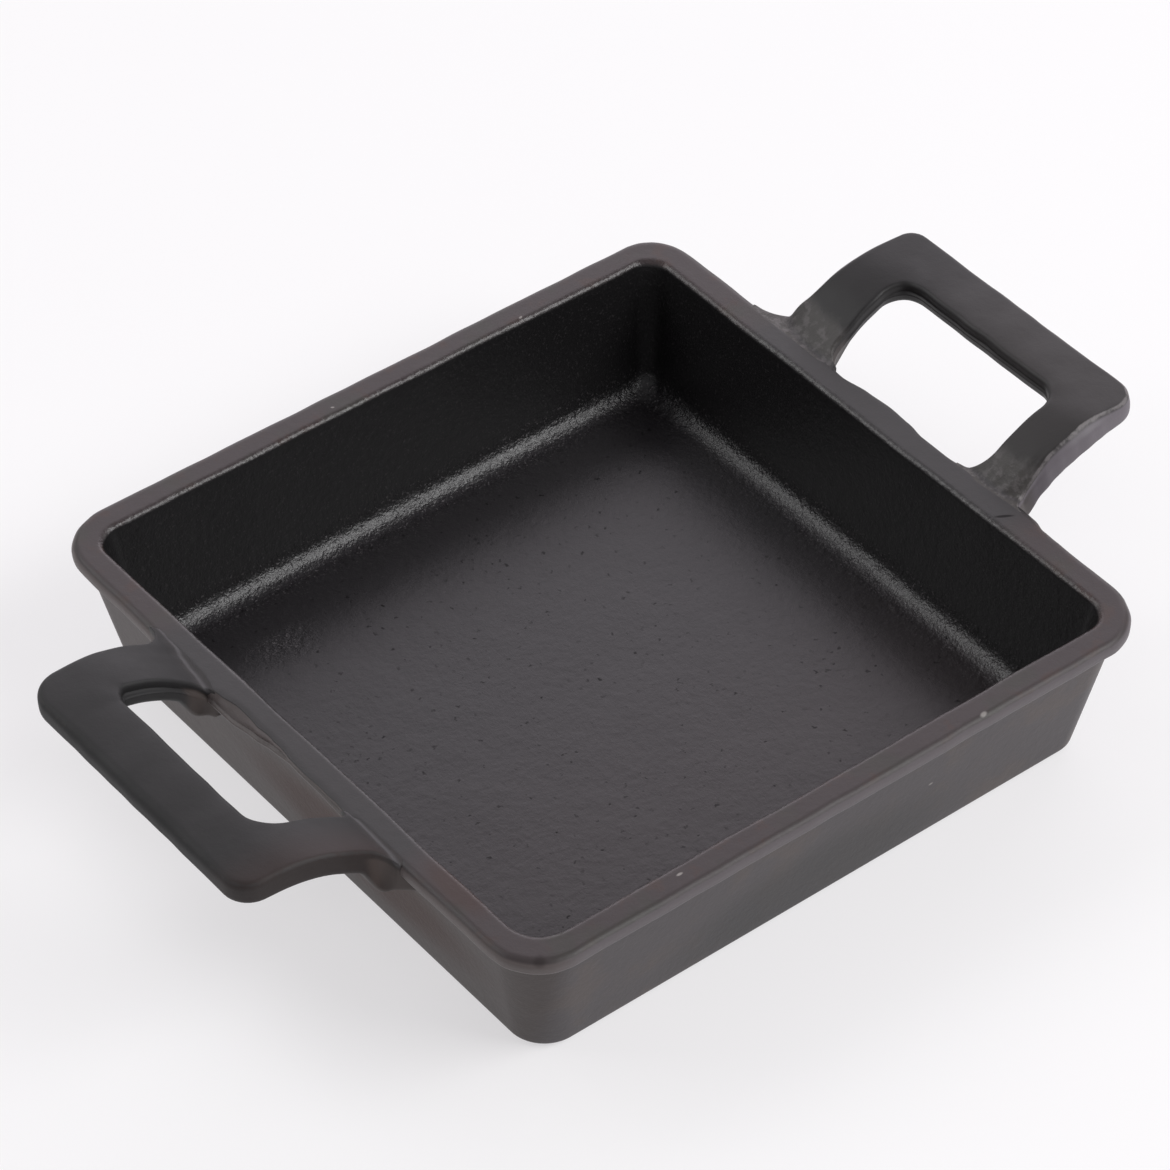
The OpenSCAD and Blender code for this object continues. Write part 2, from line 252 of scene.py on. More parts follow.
def panSurface(shape):
    # A section of half width and height, carried round a square with rounded corners. At each row
    # the point of an arc is centre + radius * (cos, sin), with the centre one radius in from both
    # sides, and the points of a side lie between the ends of its two arcs. The corner radii go
    # from one level's to the next's in proportion to the section's station.
    s = shape
    section, station, length = roundedSection(
        [(s["centreHalf"], 0), (s["baseHalf"], 0), (s["wallTopHalf"], s["wallTopHeight"]),
         (s["rimHalf"] - s["bandLean"], s["bandBottomHeight"]), (s["rimHalf"], s["height"]),
         (s["innerRimHalf"], s["height"]), (s["innerFloorHalf"], s["floorHeight"]),
         (s["centreHalf"], s["floorHeight"])],
        s["edgeRadii"], s["arcRows"], s["straightRows"])
    half, height = section[:, :1], section[:, 1:]
    underBase, onFloor = s["centreRadii"]
    levels = np.array([[underBase] * 4, s["baseCorners"], s["wallCorners"], s["rimCorners"],
                       s["rimCorners"], s["innerRimCorners"], s["innerFloorCorners"],
                       [onFloor] * 4])
    radii = np.stack([np.interp(station, np.arange(8), levels[:, k]) for k in range(4)], -1)

    corner, arc, along = panColumns(s)

    def arcPoint(k, turn):
        angle = (k + turn) * np.pi / 2
        radius = radii[:, k]
        sideX = np.where((k == 0) | (k == 3), 1, -1)
        sideY = np.where(k < 2, 1, -1)
        return (sideX * (half - radius) + radius * np.cos(angle),
                sideY * (half - radius) + radius * np.sin(angle))

    hereX, hereY = arcPoint(corner, arc)
    nextX, nextY = arcPoint((corner + 1) % 4, np.zeros(len(corner)))
    x = hereX + (nextX - hereX) * along
    y = hereY + (nextY - hereY) * along
    z = height + np.zeros_like(x)

    # the casting's unevenness: slow waves of the rim's edges, only ever inwards at the outside
    rimShare = lineThrough(station, s["rimShare"])[:, None]
    innerShare = lineThrough(station, s["innerShare"])[:, None]
    turns = (corner + (arc + along * 3) / 4) / 4 + np.zeros_like(x)
    (outerSize, outerCycles), (innerSize, innerCycles) = s["outerWave"], s["innerWave"]
    outerWave = np.minimum(outerSize * (ripple(turns, outerCycles, 3) - s["waveInset"]), 0)
    innerWave = innerSize * ripple(turns, innerCycles, 8)
    spread = outerWave * rimShare + innerWave * innerShare
    turnStart, turnLength = s["waveTurn"]
    towardsX = smoothShare((np.abs(x) / np.maximum(np.abs(y), 1e-6) - turnStart) / turnLength)
    x = x + np.sign(x) * spread * towardsX
    y = y + np.sign(y) * spread * (1 - towardsX)

    for facts in rimAtHandle.values():
        near = smoothShare((shiftEnd - np.abs(y)) / shiftFade)
        near = near * (x * facts["side"] > handleSideFrom)
        gapEnd = facts["gap"] + gapMargin
        inGap = smoothShare((gapEnd - np.abs(y - facts["centre"])) / gapFade)
        # the rounding of the top edge is scaled about its corner to be sharper in the opening
        sharp = (1 - (1 - facts["edge"]) * inGap) * near + 1 - near
        arcStart, arcEnd = s["outerArc"]
        onArc = ((station > arcStart) & (station < arcEnd))[:, None] & (near > 0)
        radius = s["edgeRadii"][3]
        inArc = onArc & (np.abs(x) > s["rimHalf"] - radius) & (z > s["height"] - radius)
        x = np.where(inArc, np.sign(x) * (s["rimHalf"] - (s["rimHalf"] - np.abs(x)) * sharp), x)
        z = np.where(inArc, s["height"] - (s["height"] - z) * sharp, z)
        belowTop = z - s["height"]
        upperShare = smoothShare((belowTop + partingStep[0]) / partingStep[1])
        inCrevice = np.exp(-((belowTop + partingCrevice[0]) / partingCrevice[1]) ** 2)
        shift = smoothCurve(y, facts["lower"]) + smoothCurve(y, facts["upper"]) * upperShare
        shift = shift - facts["groove"] * inGap * inCrevice
        x = x + facts["side"] * near * shift * rimShare

    # the grain's level, its bells over the distance along the section, and the rough patch
    level = lineThrough(station, s["grainLevel"])
    bells = [most * np.exp(-((length - np.interp(middle, station, length)) / reach) ** 2)
             for middle, reach, most in s["grainBells"]]
    patchX, patchY, reachX, reachY = s["sandyPatch"]
    patch = np.exp(-((x - patchX) / reachX) ** 2 - ((y - patchY) / reachY) ** 2)
    patch = patch * (station > s["floorFrom"])[:, None]
    fields = {"station": station[:, None] + np.zeros_like(x),
              "sandy": np.maximum(np.max([level, *bells], axis=0)[:, None], patch)}
    return np.stack([x, y, z], -1), fields


panGrid, panFields = panSurface(panShape)
panBody = meshPiece("panBody", panGrid, (0, 0, 0), (0, 0, panShape["floorHeight"]), panFields)
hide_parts("pan_floor", "side_walls", "rim_band")
print("pan body:", len(panBody.data.polygons), "faces")


# "out" is the distance from the plain rim, "across" the distance from the handle's middle, and
# heights are above the top of the rim. Pairs are for the back and the front arm. Knots run from
# 0 at the back arm's root over 0.22 to 0.36, the first bend, and 0.64 to 0.78, the second, to 1.
handleBuild = {
    "buried": 4.2,           # how far the arms run on under the rim
    "parting": 2.4,          # depth of the parting line below the top
    "partingBlend": 0.35,    # the ledge above it blends over this depth
    "wander": 0.05,          # size of the unevenness
    "inset": 1.4,            # this many sizes keep the outer side and the top inside the CAD's box
    "ledgeWander": 0.12,     # share by which the ledge varies
    "creaseReach": 14,       # the crease's shape fades over this "out"
    "riseBend": 2.2,         # power of the top's rise: the more, the earlier it rises
    "earBend": 1.4,          # power of the ears' fade down the lug
    "outerDraft": 0.5,       # share of the draft on the outer side
    "flareDepth": 3, "footDepth": 2,     # the flare and the foot are full below these depths
    "levelReach": 6,         # at the root the top is even, up to this "out"
    "frontFrom": (0.4, 0.2),     # where the front arm's facts take over, and how slowly
    "armRows": 71, "armCrowding": 1.15,  # rows crowd at the root by this power
    "bendRows": 44, "gripRows": 88,
    # in a section: points of each arc, and steps of its top, outer side, bottom and inner side
    "arcPoints": 9, "sideSteps": (22, 14, 16, 14),
}
handleShape = {
    "right": {
        "side": 1, "centre": -0.8, "reach": 32.38, "grip": 12.4, "rise": 10.88, "rootStep": 0.03,
        "riseRun": 24.0, "gripThickness": 4.9, "armThickness": [5.8, 6.3],
        "arm": [35.6, 35.6], "armTaper": 2.1, "gap": [21.8, 21.8], "gapTaper": 1.0,
        "outerCorner": [3.6, 5.4], "innerCorner": [5.2, 4.2], "ear": [9.5, 3.4], "root": [3.2, 5.4],
        # where the top begins to rise, by the place across
        "crease": [(40, 4.4), (37.4, 3.7), (35.6, 1.6), (33, 0.2), (29, -0.5), (20, -0.6),
                   (-20, 0.6), (-26, 0.1), (-30, 0.5), (-33.3, 1.65), (-35.4, 3.6), (-39, 4.4)],
        "innerEdge": [(0, 0.9), (1, 0.9)],
        "outerEdge": [(0, 1.0), (0.3, 1.2), (0.62, 1.2), (0.72, 0.6), (1, 0.5)],
        "bottomEdge": 1.7, "crown": 0.12, "draft": 0.26, "lugDepth": [8.0, 4.8], "lugReach": 1.2,
        "lugSweep": 5.6, "earFade": [0.25, 0.85], "flare": 0.7,
        # how far the front arm's outer side stands out at its foot, by "out"
        "foot": [(-1, 0), (3, -0.67), (5.8, -0.53), (8.8, 0.1), (11.8, 0.42), (14.9, 0.8),
                 (18, 1.0), (21, 0.8), (24, 0.5), (28, 0.3), (34, 0.3)],
        # how far the outer top edge stands in from the side's foot
        "flank": [(0, 0.0), (0.66, 0.1), (0.77, 2.1), (0.86, 2.8), (0.93, 3.3), (1, 3.3)],
        "ledge": [(0, 0.5), (0.08, 0.5), (0.15, 0.2), (0.2, 0.2), (0.3, 0.6), (0.38, 0.5),
                  (0.62, 0.4), (0.72, 0.1), (1, 0.1)],
    },
    "left": {
        "side": -1, "centre": -1.5, "reach": 32.38, "grip": 12.7, "rise": 10.88, "rootStep": 0.03,
        "riseRun": 24.0, "gripThickness": 5.3, "armThickness": [6.0, 6.0],
        "arm": [35.9, 35.4], "armTaper": 1.8, "gap": [21.6, 21.6], "gapTaper": 0.6,
        "outerCorner": [7.0, 5.5], "innerCorner": [2.6, 6.0], "ear": [6.0, 3.4], "root": [2.4, 3.0],
        "crease": [(40, -1.8), (35.3, -1.5), (31.3, -0.5), (27.6, 0.0), (21, 0.7), (-18, -0.5),
                   (-23, -0.8), (-32.5, -0.5), (-38, 0.2)],
        "innerEdge": [(0, 0.8), (0.3, 1.0), (0.5, 1.4), (1, 1.4)],
        "outerEdge": [(0, 1.2), (0.25, 1.4), (0.45, 2.1), (0.6, 2.1), (0.8, 1.0), (1, 0.7)],
        "bottomEdge": 1.7, "crown": 0.3, "draft": 0.12, "lugDepth": [7.3, 8.0], "lugReach": 1.2,
        "lugSweep": 5.6, "earFade": [0.35, 0.95], "flare": 0.9, "foot": [(0, 0), (30, 0)],
        "flank": [(0, 0.0), (0.62, 0.0), (0.8, 0.9), (0.9, 1.8), (1, 3.4)],
        "ledge": [(0, 1.2), (0.1, 1.2), (0.22, 1.15), (0.33, 0.3), (0.42, 0.05), (1, 0.0)],
    },
}


def halfHandlePlan(h, end):
    # Inner and outer points of the sections of one arm and its bend. Along the arm both are at the
    # same "out". Round the bend a ray fans out from the centre of the opening's corner, and the
    # outer point is where it meets the arm's side, the corner's circle or the grip's far side.
    inner, outer = h["innerCorner"][end], h["outerCorner"][end]

    def armSide(out):
        return h["arm"][end] - h["armTaper"] * out / h["reach"]

    def gapSide(out):
        return h["gap"][end] + h["gapTaper"] * out / (h["reach"] - h["grip"])

    bendOut = h["reach"] - h["grip"] - inner
    rowShare = np.linspace(0, 1, handleBuild["armRows"] + 1)[:-1] ** handleBuild["armCrowding"]
    out = -handleBuild["buried"] + (bendOut + handleBuild["buried"]) * rowShare
    spreadIn = filletSpread(np.maximum(out, 0), h["root"][end])
    spreadOut = filletSpread(np.maximum(out, 0), h["ear"][end])
    insidePart = np.stack([out, gapSide(out) - spreadIn], -1)
    outsidePart = np.stack([out, armSide(out) + spreadOut], -1)
    centre = np.array([bendOut, gapSide(bendOut) - inner])
    circle = np.array([h["reach"] - outer, armSide(h["reach"] - outer) - outer])
    angle = np.linspace(0, np.pi / 2, handleBuild["bendRows"])
    ray = np.stack([np.sin(angle), np.cos(angle)], -1)
    toSide = (armSide(bendOut) - centre[1]) / (ray[:, 1] + h["armTaper"] / h["reach"] * ray[:, 0])
    toEnd = (h["reach"] - bendOut) / np.maximum(ray[:, 0], 1e-6)
    offset = circle - centre
    pull = ray @ offset
    toCircle = pull + np.sqrt(np.maximum(pull ** 2 - offset @ offset + outer ** 2, 0))
    onSide = bendOut + ray[:, 0] * toSide <= circle[0]
    onEnd = centre[1] + ray[:, 1] * toEnd <= circle[1]
    along = np.where(onSide, toSide, np.where(onEnd, toEnd, toCircle))
    return (np.concatenate([insidePart, centre + inner * ray]),
            np.concatenate([outsidePart, centre + ray * along[:, None]]),
            np.concatenate([spreadIn, np.zeros(len(angle))]),
            np.concatenate([spreadOut, np.zeros(len(angle))]))


def handleHeights(h, out, across, front):
    # The top is level with the rim up to the crease, rises along 1 - (1 - share)^bend and is level
    # at the grip. The underside is flat under the lug and then sweeps up to the arm's underside
    # along 3 v^2 - 2 v^3.
    start = smoothCurve(across, h["crease"]) * (1 - smoothShare(out / handleBuild["creaseReach"]))
    share = np.clip((out - start) / (h["riseRun"] - start), 0, 1)
    risen = 1 - (1 - share) ** handleBuild["riseBend"]
    top = -h["rootStep"] + (h["rise"] + h["rootStep"]) * risen
    arm = h["armThickness"][0] + (h["armThickness"][1] - h["armThickness"][0]) * front
    thickness = arm + (h["gripThickness"] - arm) * np.clip(out / h["reach"], 0, 1)
    lug = h["lugDepth"][0] + (h["lugDepth"][1] - h["lugDepth"][0]) * front
    sweep = smoothShare((out - h["lugReach"]) / h["lugSweep"])
    bottom = -lug + (top - thickness + lug) * sweep
    return top, bottom


def sectionTemplate():
    # The section's outline from the foot of its inner top edge's arc, over the top, the outer side
    # and the bottom, back to the same place. Each row holds a point's way across, as shares of the
    # width and of the inner, outer and bottom edges' radii, and its way down, as shares of the
    # depth and of the same radii.
    turn = np.linspace(0, np.pi / 2, handleBuild["arcPoints"])
    cos, sin, none = np.cos(turn), np.sin(turn), np.zeros(len(turn))
    corners = [
        np.stack([none, 1 - cos, none, none, none, 1 - sin, none, none], -1),
        np.stack([none + 1, none, sin - 1, none, none, none, 1 - cos, none], -1),
        np.stack([none + 1, none, none, cos - 1, none + 1, none, none, sin - 1], -1),
        np.stack([none, none, none, 1 - sin, none + 1, none, none, cos - 1], -1)]
    rows = []
    for k, steps in enumerate(handleBuild["sideSteps"]):
        start, end = corners[k][-1], corners[(k + 1) % 4][0]
        share = np.linspace(0, 1, steps + 1)[1:-1, None]
        rows += [corners[k], start + (end - start) * share]
    return np.concatenate(rows)


def handleSurface(h, seed):
    # A rounded rectangle carried out along one arm, round the bend, across the grip and back. Each
    # section lies between an inner and an outer point of the plan, its edges are arcs, its top is
    # crowned and its sides lean in below the parting line. Above that line its inner side stands
    # back by the ledge.
    build = handleBuild
    back, front = halfHandlePlan(h, 0), halfHandlePlan(h, 1)
    mirror = np.array([1, -1])
    gripSteps = np.linspace(0, 1, build["gripRows"] + 2)[1:-1, None]
    joined = []
    for k in (0, 1):
        start, end = back[k][-1], front[k][-1] * mirror
        grip = start + (end - start) * gripSteps
        joined.append(np.concatenate([back[k], grip, front[k][::-1] * mirror]))
    inside, outside = joined
    spreadIn, spreadOut = (
        np.concatenate([back[k], 0 * gripSteps[:, 0], -front[k][::-1]])[:, None] for k in (2, 3))
    width = np.linalg.norm(outside - inside, axis=1)[:, None]
    turns = np.linspace(0, 1, len(width))[:, None]
    turnStart, turnLength = build["frontFrom"]
    frontShare = smoothShare((turns - turnStart) / turnLength)
    radii = [smoothCurve(turns, h["innerEdge"]), smoothCurve(turns, h["outerEdge"]),
             h["bottomEdge"] + 0 * turns]

    rows = sectionTemplate().T[:, None]
    across = rows[0] * width + sum(rows[k + 1] * radii[k] for k in range(3))
    share = across / width
    across = across + build["wander"] * ripple(turns, [4, 9, 15], seed) * (1 - share)
    outerWander = build["wander"] * (build["inset"] + ripple(turns, [5, 8, 17], seed + 1))
    across = across - outerWander * share
    plan = inside[:, None] + (outside - inside)[:, None] * (across / width)[..., None]
    top, bottom = handleHeights(h, plan[..., 0], plan[..., 1], frontShare)
    depth = top - bottom
    down = rows[4] * depth + sum(rows[k + 5] * radii[k] for k in range(3))

    # the ledge above the parting line and the lean below it, then the ears fading down the lug
    varied = 1 + build["ledgeWander"] * ripple(turns, [5, 9, 14], seed + 2)
    ledge = smoothCurve(turns, h["ledge"]) * varied
    below = h["draft"] * np.maximum(down - build["parting"], 0)
    standBack = ledge * smoothShare((build["parting"] - down) / build["partingBlend"]) + below
    standBack = standBack * (1 - share) ** 2 - build["outerDraft"] * below * share ** 2
    plan = plan + ((outside - inside) / width)[:, None] * standBack[..., None]
    fade = np.clip(down / depth, 0, 1)
    fading = h["earFade"][0] + (h["earFade"][1] - h["earFade"][0]) * frontShare
    spread = spreadIn * (1 - share) - spreadOut * share
    plan[..., 1] += fading * spread * fade ** build["earBend"]
    # under the rim the outer side flares towards the wall, and the front arm's foot stands out or
    # back along its way
    flare = h["flare"] * np.maximum(-plan[..., 0], 0) * smoothShare(down / build["flareDepth"])
    foot = smoothCurve(plan[..., 0], h["foot"]) * frontShare
    flare, foot = flare * share, foot * smoothShare(down / build["footDepth"]) * share
    plan[..., 1] += np.sign(outside[:, 1:]) * (flare + foot)
    lean = smoothCurve(turns, h["flank"]) * share ** 3 * (1 - fade)
    plan = plan - ((outside - inside) / width)[:, None] * lean[..., None]
    uneven = build["wander"] * (build["inset"] + ripple(turns, [3, 7, 12], seed + 3))
    uneven = h["crown"] * (2 * share - 1) ** 2 + uneven
    height = top - down - uneven * smoothShare(plan[..., 0] / build["levelReach"]) * (1 - fade)

    # the distance from the crease, and how near a point is to the top, the crease, the outer top
    # edge, the outer side and the lug's sides, which place painted highlights and painted light:
    # each number is a place or a fade in millimetres
    topDepth, topFade = 1.2, 0.8
    creaseMiddle, creaseWidth = 0.1, 0.55
    edgeInset, edgeSpread = 0.3, 0.35
    flankWidth, flankDepth, flankFade = 0.5, 0.4, 0.6
    lugEnd, lugFade, lugDepth, lugBlend = 7, 4, 0.9, 1.2
    fromCrease = plan[..., 0] - smoothCurve(plan[..., 1], h["crease"])
    fromSide = across - width
    onTop = smoothShare((topDepth - down) / topFade)
    onFlank = smoothShare((down - flankDepth) / flankFade)
    onLug = smoothShare((down - lugDepth) / lugBlend)
    fields = {
        "fromCrease": fromCrease, "onTop": onTop,
        # a painted highlight along the crease
        "creaseHighlight": np.exp(-((fromCrease - creaseMiddle) / creaseWidth) ** 2) * onTop,
        "outerEdge": np.exp(-((fromSide + edgeInset) ** 2 + (down - edgeInset) ** 2) / edgeSpread),
        "flank": np.exp(-(fromSide / flankWidth) ** 2) * onFlank,
        # painted light on the lug's sides, standing for the table's reflection
        "litLugSide": smoothShare((lugEnd - plan[..., 0]) / lugFade) * onLug}
    return np.stack([h["side"] * (panShape["rimHalf"] + plan[..., 0]), h["centre"] + plan[..., 1],
                     panShape["height"] + height], -1), fields


handles = {}
for kind, seed in (("right", 21), ("left", 34)):
    grid, fields = handleSurface(handleShape[kind], seed)
    handles[kind] = meshPiece(kind + "Handle", grid, grid[0].mean(0), grid[-1].mean(0), fields)
    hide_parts(kind + "_front_arm", kind + "_back_arm", kind + "_grip")
print("handles:", [len(piece.data.polygons) for piece in handles.values()], "faces")


def hexColour(code):
    # sRGB hex to linear: c / 12.92 below 0.04045, else ((c + 0.055) / 1.055)^2.4
    parts = np.array([int(code[k:k + 2], 16) / 255 for k in (1, 3, 5)])
    linear = np.where(parts <= 0.04045, parts / 12.92, ((parts + 0.055) / 1.055) ** 2.4)
    return (*linear.tolist(), 1)


def addNode(tree, kind, inputs=None, **settings):
    # One shader node with its settings; an input that is a socket is linked, any other is set
    node = tree.nodes.new("ShaderNode" + kind)
    for name, value in settings.items():
        setattr(node, name, value)
    for name, value in (inputs or {}).items():
        if isinstance(value, bpy.types.NodeSocket):
            tree.links.new(value, node.inputs[name])
        else:
            node.inputs[name].default_value = value
    return node


def perMillimetre(size):
    # scale of a noise whose lumps are this many millimetres apart
    return 1000 / size


def newMaterial(name):
    material = bpy.data.materials.new(name)
    material.use_nodes = True
    material.node_tree.nodes.clear()
    return material, material.node_tree


# The share of each region goes by the station along the pan's section.
panFinish = {
    "outside": ["#3a3437", "#423836", "#2c1d18"],   # cool grey, brown baked oil, and the left wall: rust brown, darkened as painted shade
    "band": ["#595356", "#574f4e"],                 # the band, lighter as painted light on its upright face, and its left side, tan as a painted reflection
    "rim": ["#342c2d", "#3a2b28", "#302e2a"],       # grey, reddish and olive patches
    "floor": ["#1a171a", "#241e20"],                # far side, darker as painted shade of the walls, and near side, lighter as painted light
    "rimAtGrip": "#2a2829", "wall": "#171617",
    "pit": "#070606", "fleck": "#6f6a6c", "bareGrain": "#8b8683", "creviceShade": "#100e0e",
    "darkSpot": "#1e1a19", "lowFrontWallShade": "#211d20", "ruddy": "#34231f", "rustAndShade": "#3a1d13",
    "roughness": {"outside": 0.46, "rim": 0.5, "inside": 0.33},
    # sizes and depths in millimetres
    "grain": 0.5, "grainDepth": 0.12, "lump": 1.5, "lumpDepth": 0.26, "mottle": 5.5,
    "wave": 17.0, "waveDepth": 0.16,
    "pitSpacing": 2.0, "pitSize": 0.36, "pitDepth": 0.02, "pitWarp": 0.9, "pitShift": 1.5,
    "pitEdge": (1.5, 0.4), "pitStrength": 0.6,   # where a pit starts and is full, in pit sizes
    "noiseRoughness": 0.6, "bandRagged": 0.9,
    # values of the grain where the painted glints start and are full, and their share
    "glintFleckAt": (0.60, 0.70, 0.75), "markShare": 0.85, "darkSpotShare": 0.35,
    "glint": 0.5,             # how much the roughness varies with the grain
    # the rusty left wall shines less than baked oil, partly as painted shade of its reflection, and
    # hollows hardly at all
    "oilIor": 1.5, "rustAndShadeIor": 1.27, "plainShine": 0.5, "hollowShine": 0.1,
    # bare bright grains, a dark spot, painted shade in the crease in the far rim and on the lower
    # front wall, and rusty patches, one with painted shade: centre, three radii, and the turn about
    # Z in degrees
    "marks": [("ruddy", (-70.4, -49.0, 33.0), (4.0, 11.0, 2.0), 0),
              # rust brown on the left wall, darkened as painted shade under the near handle
              ("rustAndShade", (-70.0, -18.0, 16.0), (7.0, 46.0, 15.0), 0),
              # painted shade on the lower front wall, darker towards the bottom
              ("lowFrontWallShade", (-3.0, -68.5, 5.0), (44.0, 6.0, 20.0), 0),
              ("bareGrain", (35.7, 69.6, 33.0), (0.6, 0.35, 1), 20),
              ("bareGrain", (-10.1, 70.7, 33.0), (0.5, 0.3, 1), -30),
              ("bareGrain", (32.3, -73.6, 32.7), (1.1, 0.6, 1), 10),
              ("bareGrain", (-37.3, -70.8, 33.0), (0.9, 0.4, 1), 0),
              ("bareGrain", (23.5, -70.1, 17.5), (0.7, 2, 0.4), 0),
              # painted shade in the crease where the front arm meets the far rim
              ("creviceShade", (71.5, -35.2, 33.0), (2.6, 0.5, 1), -32),
              # a dark spot between the rim and the band at the front-left corner
              ("darkSpot", (-70.4, -72.6, 32.9), (3.0, 1.6, 1.4), 45)],
}


def seasonedSandCastIron(name, finish):
    # Seasoned cast iron as it leaves a sand mould: a hard black film of baked oil (IOR 1.5) over a
    # fine pebbled skin, so it looks dark and satin and its highlights break up into grains. The
    # grain is about 0.3 mm across, and is drawn 0.5 mm across so that it shows.
    material, tree = newMaterial(name)
    place = addNode(tree, "TexCoord").outputs["Object"]
    axes = addNode(tree, "SeparateXYZ", {"Vector": place})
    grain, lump, mottle, cloud = (
        addNode(tree, "TexNoise", {
            "Vector": place, "Scale": perMillimetre(size), "Detail": detail,
            "Roughness": finish["noiseRoughness"]}).outputs[0]
        for size, detail in ((finish["grain"], 2.0), (finish["lump"], 2.0), (finish["mottle"], 4.0),
                             (finish["wave"], 3.0)))
    section = addNode(tree, "Attribute", attribute_name="station").outputs["Fac"]
    ragged = addNode(tree, "Math", {0: mottle, 1: -0.5}, operation="ADD").outputs[0]
    ragged = addNode(tree, "Math", {0: ragged, 1: finish["bandRagged"], 2: section},
                     operation="MULTIPLY_ADD").outputs[0]
    awayX, awayY = (
        addNode(tree, "Math", {0: axes.outputs[k]}, operation="ABSOLUTE").outputs[0]
        for k in (0, 1))

    # shares of each patch and region: (value, where it is 0, where it is full, how much is full)
    ranges = {
        "brown": (cloud, 0.46, 0.62, 0.9), "leftWallRustAndShade": (axes.outputs[0], -0.062, -0.067, 0.85),
        # the band's tan left side is a painted reflection
        "leftBandReflection": (axes.outputs[0], -0.060, -0.070, 1.0), "red": (mottle, 0.52, 0.66, 0.8),
        "olive": (cloud, 0.50, 0.36, 0.7), "gripSide": (awayX, 0.066, 0.070, 1.0),
        "gripWide": (awayY, 0.042, 0.034, 1.0),
        # the floor's lighter near side is painted light
        "litNearSide": (axes.outputs[1], 0.020, -0.060, 1.0), "onBand": (ragged, 2.72, 2.95, 1.0),
        "onRim": (section, 3.80, 4.05, 1.0), "onWall": (section, 5.0, 5.03, 1.0),
        "onFloor": (section, 5.90, 6.03, 1.0), "innerEdge": (section, 4.86, 4.96, 1.0),
    }
    share = {
        key: addNode(tree, "MapRange", {
            "Value": value, "From Min": low, "From Max": high, "To Max": most},
            interpolation_type="SMOOTHSTEP").outputs[0]
        for key, (value, low, high, most) in ranges.items()}
    besideGrip = addNode(tree, "Math", {0: share["gripWide"], 1: share["gripSide"]},
                         operation="MULTIPLY").outputs[0]

    # pits: cells of a Voronoi pattern with ragged edges. A cell shows the more, the further its
    # random value is above 0.4.
    shaken = addNode(tree, "TexNoise", {
        "Vector": place, "Scale": perMillimetre(finish["pitWarp"]), "Detail": 1.0}).outputs[1]
    shaken = addNode(tree, "VectorMath", {
        0: shaken, 1: [finish["pitShift"] * mm] * 3, 2: place}, operation="MULTIPLY_ADD").outputs[0]
    cells = addNode(tree, "TexVoronoi", {
        "Vector": shaken, "Scale": perMillimetre(finish["pitSpacing"])})
    pitShare = finish["pitSize"] / finish["pitSpacing"]
    outerEdge, innerEdge = (pitShare * edge for edge in finish["pitEdge"])
    hollow = addNode(tree, "MapRange", {
        "Value": cells.outputs["Distance"], "From Min": outerEdge, "From Max": innerEdge},
        interpolation_type="SMOOTHSTEP").outputs[0]
    chosen = addNode(tree, "SeparateColor", {"Color": cells.outputs["Color"]}).outputs[0]
    chosen = addNode(tree, "Math", {0: chosen, 1: 1.4, 2: -0.56},
                     operation="MULTIPLY_ADD", use_clamp=True).outputs[0]
    pits = addNode(tree, "Math", {0: hollow, 1: chosen}, operation="MULTIPLY").outputs[0]

    # the sand's grain stands out most along the fillet and the rim's inner edge, and light flecks
    # of colour where the grain is high paint glints of grains catching the light
    sandy = addNode(tree, "Attribute", attribute_name="sandy").outputs["Fac"]
    # the flecks are painted glints, not bare grains
    fleckLow, fleckHigh, fleckShare = finish["glintFleckAt"]
    fleck = addNode(tree, "MapRange", {
        "Value": grain, "From Min": fleckLow, "From Max": fleckHigh, "To Max": fleckShare},
        interpolation_type="SMOOTHSTEP").outputs[0]
    for _ in range(2):
        fleck = addNode(tree, "Math", {0: fleck, 1: sandy}, operation="MULTIPLY").outputs[0]

    # each region's own colour, then the regions laid over one another from the outside inwards
    region = {}
    for key, layers in (
            ("outside", ["brown", "leftWallRustAndShade"]), ("band", ["leftBandReflection"]), ("rim", ["red", "olive"]),
            ("floor", ["litNearSide"])):
        colour = hexColour(finish[key][0])
        for layer, code in zip(layers, finish[key][1:]):
            colour = addNode(tree, "Mix", {
                0: share[layer], 6: colour, 7: hexColour(code)}, data_type="RGBA").outputs[2]
        region[key] = colour
    for key, over, code in (
            ("rim", besideGrip, finish["rimAtGrip"]), ("floor", pits, finish["pit"])):
        region[key] = addNode(tree, "Mix", {0: over, 6: region[key], 7: hexColour(code)},
                              data_type="RGBA").outputs[2]
    colour = region["outside"]
    for over, layer in (
            (share["onBand"], region["band"]), (share["onRim"], region["rim"]),
            (share["onWall"], hexColour(finish["wall"])), (share["onFloor"], region["floor"]),
            (fleck, hexColour(finish["fleck"]))):
        colour = addNode(tree, "Mix", {0: over, 6: colour, 7: layer}, data_type="RGBA").outputs[2]
    hollows = addNode(tree, "Math", {0: pits, 1: share["onFloor"]}, operation="MULTIPLY").outputs[0]
    for kind, centre, radii, turn in finish["marks"]:
        local = addNode(tree, "Mapping", {
            "Vector": place, "Location": [v * mm for v in centre],
            "Rotation": (0, 0, math.radians(turn)), "Scale": [v * mm for v in radii]},
            vector_type="TEXTURE").outputs[0]
        away = addNode(tree, "VectorMath", {0: local}, operation="LENGTH")
        most = finish["darkSpotShare"] if kind == "darkSpot" else finish["markShare"]
        spot = addNode(tree, "MapRange", {
            "Value": away.outputs["Value"], "From Min": 1.0, "From Max": 0.4, "To Max": most},
            interpolation_type="SMOOTHSTEP").outputs[0]
        colour = addNode(tree, "Mix", {0: spot, 6: colour, 7: hexColour(finish[kind])},
                         data_type="RGBA").outputs[2]
        if kind in ("creviceShade", "darkSpot"):
            hollows = addNode(tree, "Math", {0: hollows, 1: spot}, operation="MAXIMUM").outputs[0]
        if kind == "rustAndShade":
            rustAndShadeShare = spot

